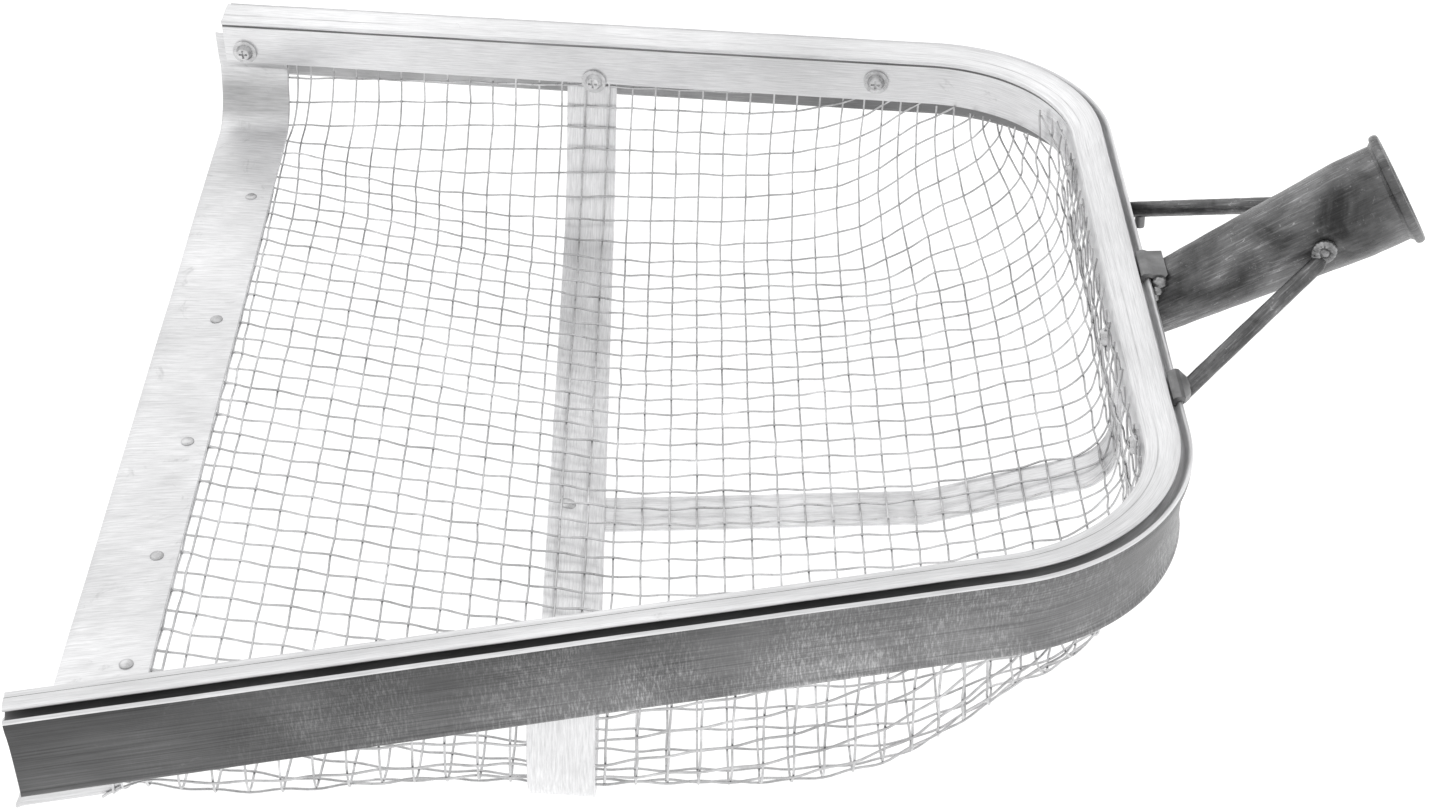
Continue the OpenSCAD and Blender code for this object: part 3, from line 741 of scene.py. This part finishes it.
def tube(points, radius, sides, verts, faces):
    """A round wire through the points, added to verts and faces."""
    base = len(verts)
    side = None
    for k, p in enumerate(points):
        ahead = points[min(k + 1, len(points) - 1)] - points[max(k - 1, 0)]
        ahead.normalize()
        if side is None:
            side = ahead.orthogonal().normalized()
        side = (side - ahead * side.dot(ahead)).normalized()
        other = ahead.cross(side)
        for s in range(sides):
            a = 2 * math.pi * s / sides
            verts.append(p + (side * math.cos(a) + other * math.sin(a)) * radius)
    for k in range(len(points) - 1):
        for s in range(sides):
            n = (s + 1) % sides
            a = base + k * sides
            faces.append((a + s, a + n, a + sides + n, a + sides + s))
    faces.append(tuple(base + s for s in range(sides - 1, -1, -1)))
    faces.append(tuple(base + (len(points) - 1) * sides + s for s in range(sides)))


def make_wires(name, nodes, axis, amplitude, high, front):
    """All the wires one way; each passes over and under the crossing wires in turn."""
    verts, faces = [], []
    steps = 4
    lows = [min(k[a] for k in nodes) for a in (0, 1)]
    tops = [max(k[a] for k in nodes) for a in (0, 1)]
    other = 1 - axis
    for w in range(lows[other], tops[other] + 1):
        keys = [(i, w) if axis == 0 else (w, i) for i in range(lows[axis], tops[axis] + 1)]
        run = [nodes[key] for key in keys]
        fine = []
        for k in range(len(run) - 1):
            (p1, n1), (p2, n2) = run[k], run[k + 1]
            p0 = run[max(k - 1, 0)][0]
            p3 = run[min(k + 2, len(run) - 1)][0]
            for s in range(steps):
                t = s / steps
                q = 0.5 * ((2 * p1) + (p2 - p0) * t + (2 * p0 - 5 * p1 + 4 * p2 - p3) * t * t
                           + (3 * p1 - p0 - 3 * p2 + p3) * t ** 3)
                swing = math.cos(math.pi * (keys[k][axis] + t)) * (-1) ** (w + axis) * amplitude
                fine.append(q + (n1 * (1 - t) + n2 * t) * swing)
        part = []
        for q in fine + [None]:
            if q is not None and q.z < wire_top(q, high - RIM_GAP) and q.x > front + LIP_COVER:
                part.append(q)
                continue
            if len(part) > 3:
                tube(part, WIRE_R, 6, verts, faces)
            part = []
    make_piece(name, verts, faces, ["wire"], ["mesh_basket"], None, None, 60)


# ---- turned pieces ----
def frame_of(axis):
    """Two directions square to an axis."""
    side = Vector((0, 1, 0))
    side = (side - axis * side.dot(axis)).normalized()
    return side, axis.cross(side)


# handle socket: axis up and back from the bar, radii measured from it
TILT = math.radians(28.5)
SOCKET_AXIS = Vector((math.cos(TILT), 0, math.sin(TILT)))
MOUTH = Vector((LENGTH + 102, 0, 32.5))
# the cone widens from its base to a place near the mouth, measured along the axis from the mouth
SOCKET_BASE_R = 10.75
SOCKET_CONE_FROM = -112.0
SOCKET_CONE_TO = -18.0
MOUTH_R, RIM_R, BORE_R = 18.0, 20.8, 16.1
RIM_H = 3.4
SOCKET_WALL = 1.9
# back bar's outer wall: height, and distance out from the bar's inner face
BAR_WALL = [(-70, 12.95), (-28.4, 12.95), (-27.4, 12.2), (-20, 12.2), (-14, 12.4), (-9, 12.9), (-5, 13.7),
            (-1.6, 14.7), (1.5, 14.95), (70, 14.95)]


def wall_x(z):
    """How far out the back bar's outer wall stands at a height."""
    for (z0, x0), (z1, x1) in zip(BAR_WALL, BAR_WALL[1:]):
        if z <= z1:
            return LENGTH + x0 + (x1 - x0) * max(0.0, (z - z0) / (z1 - z0))
    return LENGTH + BAR_WALL[-1][1]


def make_socket():
    """A tapered tube cut to the back bar's wall, with a rolled collar round its mouth."""
    side, other = frame_of(SOCKET_AXIS)
    sides = 96
    angles = [2 * math.pi * k / sides for k in range(sides)]
    uv_r = 17

    def radius(s):
        t = max(0.0, min(1.0, (s - SOCKET_CONE_FROM) / (SOCKET_CONE_TO - SOCKET_CONE_FROM)))
        return SOCKET_BASE_R + (MOUTH_R - SOCKET_BASE_R) * t

    def outward(a):
        return side * math.cos(a) + other * math.sin(a)

    def point(s, r, a):
        return MOUTH + SOCKET_AXIS * s + outward(a) * r

    def first(a, thick):
        """Where the tube's wall meets the bar along one line of the cone."""
        s = SOCKET_CONE_FROM - 20
        while s < -20:
            q = point(s, radius(s) - thick, a)
            if q.x > wall_x(q.z) - 0.2:
                break
            s += 0.25
        return s

    rings = []
    uvs = []

    def add(points, v):
        """One ring of the tube, its surface a little uneven."""
        ring = []
        for a, q in zip(angles, points):
            q = q + outward(a) * (0.16 * noise.noise(q * 0.16) + 0.07 * noise.noise(q * 0.6))
            ring.append(place(q.x, q.y, q.z))
            uvs.append((a * uv_r * MM, v * MM))
        rings.append(ring)

    def add_wall(starts, end, shares, thick, span):
        for t in shares:
            at = [s + (end - s) * t for s in starts]
            add([point(s, radius(s) - thick, a) for a, s in zip(angles, at)], span * t)

    length = 80
    neck = -RIM_H - 1.2
    bead = (RIM_R - MOUTH_R + 0.6) / 2
    collar = []
    for k in range(13):
        a = math.pi * k / 12
        collar.append((-RIM_H / 2 * (1 + math.cos(a)), RIM_R - bead + bead * math.sin(a) ** 0.6))
    collar += [(-0.2, BORE_R + 1.3), (-0.7, BORE_R + 0.4), (-1.8, BORE_R + 0.05)]
    add_wall([first(a, 0) for a in angles], neck, [i / 46 for i in range(47)], 0, length)
    for s, r in collar:
        add([point(s, r, a) for a in angles], length + s)
    add([point(-17.0, BORE_R, a) for a in angles], 0)
    add_wall([first(a, SOCKET_WALL) for a in angles], SOCKET_CONE_TO, [i / 8 for i in range(7, -1, -1)],
             SOCKET_WALL, 0)
    verts, faces = loft(rings, True, False)
    # the last ring joins the first across the cut end
    last = (len(rings) - 1) * sides
    faces += [(last + i, last + (i + 1) % sides, (i + 1) % sides, i) for i in range(sides)]
    make_piece("socket", verts, faces, ["dark_steel"], ["handle_socket"], None, uvs, 40,
               2 * math.pi * uv_r * MM)


STAY_R = 3.0


def make_stay(name, side_sign, replaced):
    a = Vector((LENGTH + 14.9, side_sign * 64.3, -13.1))
    b = Vector((LENGTH + 72, side_sign * 19.2, 14.8))
    axis = (b - a).normalized()
    u = axis.orthogonal().normalized()
    w = axis.cross(u)
    rings = []
    uvs = []
    steps = 40
    for i in range(steps + 1):
        t = i / steps
        # the ends are eased in a little
        r = STAY_R * (1 - 0.25 * max(0.0, (abs(t - 0.5) - 0.48) / 0.02) ** 2)
        ring = []
        for k in range(24):
            angle = 2 * math.pi * k / 24
            out = u * math.cos(angle) + w * math.sin(angle)
            q = a + (b - a) * t + out * r
            q += out * 0.09 * noise.noise(q * 0.5)
            ring.append(place(q.x, q.y, q.z))
            uvs.append((angle * STAY_R * MM, t * (b - a).length * MM))
        rings.append(ring)
    verts, faces = loft(rings)
    make_piece(name, verts, faces, ["dark_steel"], replaced, None, uvs, 40,
               2 * math.pi * STAY_R * MM)


BEAD_SQUASH = 0.85


def make_beads(name, beads, replaced):
    """Run-together weld metal: lumps with ripples, given as places and radii."""
    verts, faces = [], []
    rows, cols = 14, 20
    for x, y, z, r in beads:
        base = len(verts)
        for i in range(rows + 1):
            theta = math.pi * i / rows
            for k in range(cols):
                phi = 2 * math.pi * k / cols
                flat = math.sin(theta)
                d = Vector((flat * math.cos(phi), flat * math.sin(phi), math.cos(theta)))
                here = Vector((x, y, z))
                lump = 1 + 0.10 * noise.noise(here + d * 2.2) + 0.035 * math.sin(9 * theta + x)
                q = here + Vector((d.x, d.y, d.z * BEAD_SQUASH)) * r * lump
                verts.append(place(q.x, q.y, q.z))
        for i in range(rows):
            for k in range(cols):
                n = (k + 1) % cols
                a, b = base + i * cols, base + (i + 1) * cols
                faces.append((a + k, b + k, b + n, a + n))
    piece = make_piece(name, verts, faces, ["weld"], replaced, None, None, 60)
    bm = bmesh.new()
    bm.from_mesh(piece.data)
    bmesh.ops.remove_doubles(bm, verts=bm.verts, dist=1e-7)
    bm.to_mesh(piece.data)
    bm.free()


def bead_ring(centre):
    """A round weld on the socket's side: a hollowed middle inside a ring of run-together drops."""
    from_axis = centre - MOUTH
    out = (from_axis - SOCKET_AXIS * from_axis.dot(SOCKET_AXIS)).normalized()
    across = out.cross(SOCKET_AXIS)
    drops = [(*(centre - out * 0.6), 2.7)]
    count = 14
    ring_r = 2.9
    for k in range(count):
        a = 2 * math.pi * k / count
        p = centre + (SOCKET_AXIS * math.cos(a) + across * math.sin(a)) * ring_r
        p += out * 0.2 * math.sin(3 * a)
        drops.append((*p, 1.75 + 0.22 * math.sin(2 * a + 1)))
    return drops


def make_domes(name, places, replaced, shank, tilt=0.0):
    """Rivets: a low domed head over a plain shank. Each place is x, y, z, radius and height of the head."""
    turn = Matrix.Rotation(tilt, 3, "Y")
    verts, faces = [], []
    sides = 32
    for x, y, z, r, h in places:
        outline = [(0.001, -shank), (r * 0.55, -shank), (r * 0.62, -shank + 0.2), (r * 0.62, 0.0),
                   (r * 0.98, 0.0), (r, h * 0.15), (r * 0.97, h * 0.4), (r * 0.85, h * 0.72),
                   (r * 0.62, h * 0.92), (r * 0.3, h * 0.99), (0.001, h)]
        base = len(verts)
        for rr, hh in outline:
            for k in range(sides):
                a = 2 * math.pi * k / sides
                p = turn @ Vector((rr * math.cos(a), rr * math.sin(a), hh))
                verts.append(place(x + p.x, y + p.y, z + p.z))
        for i in range(len(outline) - 1):
            for k in range(sides):
                n = (k + 1) % sides
                p, q = base + i * sides, base + (i + 1) * sides
                faces.append((p + k, p + n, q + n, q + k))
        faces.append(tuple(base + k for k in range(sides - 1, -1, -1)))
        top = base + (len(outline) - 1) * sides
        faces.append(tuple(top + k for k in range(sides)))
    make_piece(name, verts, faces, ["fastener"], replaced, None, None, 40)


# ---- build ----
LIP_DEPTH = 43.0
make_camera()
make_rail()
make_band("lip", U_LIP, LIP_DEPTH, 3.0, 20.0, -4.0, 30.0, 0.0, "lip", ["front_lip"], 0.5, 0.5,
          set_back=2.8)
cross_r = 37 + MESH_T / 2 + 0.1
make_band("crosswise_strap", U_STRAP, CROSS_Z - 0.2, cross_r, cross_r, CROSS_X - CROSS_WIDTH / 2,
          CROSS_WIDTH, CROSS_LEAN, "strap", ["cross_strap"], 0.0, 0.3, CROSS_RISE, 3.0)
make_long_strap()
net, rim_high, rim_front = make_net()
make_wires("lengthwise_wires", net, 0, 0.42 * MM, rim_high, rim_front)
make_wires("crosswise_wires", net, 1, 0.36 * MM, rim_high, rim_front)
make_socket()
make_stay("stay_bar_near", -1, ["near_stay"])
make_stay("stay_bar_far", 1, ["far_stay"])
# weld beads: distance back from the bar, across, height and radius
SOCKET_BEADS = [(18, 8.4, 0.4, 2.7), (17, 10.2, -1.8, 2.2), (16, 11.6, -3.6, 1.9), (15.2, 12.7, -6.6, 1.8),
                (14.6, 13.6, -9.5, 1.8), (14.2, 13.8, -12.3, 1.7), (14, 13.8, -15, 1.7)]
NEAR_FOOT_BEADS = [(18.8, -64.7, -4.2, 1.6), (19.2, -63.1, -5.9, 1.6), (19.6, -61.5, -7.5, 1.9),
                   (15, -63.9, -13.4, 2.2)]
FAR_FOOT_BEADS = [(14.6, 64.9, -10.8, 2.2), (15, 63.9, -14.6, 2.4)]
make_beads("socket_beads", [(LENGTH + x, s * y, z, r) for s in (-1, 1) for x, y, z, r in SOCKET_BEADS],
           ["socket_weld"])
for sign, where in ((-1, "near"), (1, "far")):
    weld_middle = Vector((LENGTH + 72.8, sign * 19.0, 18.2))
    make_beads("stay_bead_" + where, bead_ring(weld_middle), [where + "_stay_weld"])
make_beads("foot_beads_near", [(LENGTH + x, y, z, r) for x, y, z, r in NEAR_FOOT_BEADS], ["near_foot_weld"])
make_beads("foot_beads_far", [(LENGTH + x, y, z, r) for x, y, z, r in FAR_FOOT_BEADS], ["far_foot_weld"])
LIP_RIVETS = [(17.6, 141), (17, 49), (18.5, -31), (18.5, -97), (18, -153)]
HEAD_LIFT = 0.02
make_domes("lip_rivet_heads", [(x, y, HEAD_LIFT - LIP_DEPTH, 2.4, 0.8) for x, y in LIP_RIVETS],
           ["lip_rivets"], SHEET_T + MESH_T + 0.6)
make_domes("strap_rivet_head", [(RIVET_X, LONG_Y, HEAD_LIFT - cross_top(RIVET_X), 3.6, 0.6)],
           ["strap_rivet"], 2 * SHEET_T + 0.1, math.atan(CROSS_SLOPE))

# CAD nodes whose shape stays
NODE_LOOKS = {"socket_tab": "bracket", "near_stay_foot": "bracket", "far_foot_stub": "bracket"}
for where in ("near_rail", "far_rail", "back_bar"):
    NODE_LOOKS[where + "_screws"] = "fastener"
    NODE_LOOKS[where + "_washers"] = "fastener"
for node_name, look in NODE_LOOKS.items():
    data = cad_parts[node_name].data
    data.materials.clear()
    data.materials.append(LOOKS[look])


# ---- light, floor and background ----
def make_stage():
    world = bpy.data.worlds.new("world")
    world.use_nodes = True
    background = world.node_tree.nodes["Background"]
    background.inputs["Color"].default_value = (1, 1, 1, 1)
    background.inputs["Strength"].default_value = 1.0
    bpy.context.scene.world = world
    bpy.context.scene.view_settings.view_transform = "Standard"
    half = 6
    mesh = bpy.data.meshes.new("floor")
    corners = [(-half, -half, 0), (half, -half, 0), (half, half, 0), (-half, half, 0)]
    mesh.from_pydata(corners, [], [(0, 1, 2, 3)])
    floor_look = bpy.data.materials.new("floor")
    floor_look.use_nodes = True
    shader = floor_look.node_tree.nodes["Principled BSDF"]
    shader.inputs["Base Color"].default_value = (0.5, 0.5, 0.5, 1)
    shader.inputs["Roughness"].default_value = 1.0
    shader.inputs["Emission Color"].default_value = (1, 1, 1, 1)
    shader.inputs["Emission Strength"].default_value = 0.72
    mesh.materials.append(floor_look)
    floor = bpy.data.objects.new("floor", mesh)
    bpy.context.collection.objects.link(floor)
    key = bpy.data.lights.new("key", "AREA")
    key.shape = "RECTANGLE"
    key.size = 1.8
    key.size_y = 1.6
    key.energy = 3
    lamp = bpy.data.objects.new("key", key)
    lamp.location = (-0.6, 0.9, 1.4)
    lamp.rotation_euler = (-lamp.location).to_track_quat("-Z", "Y").to_euler()
    bpy.context.collection.objects.link(lamp)


make_stage()
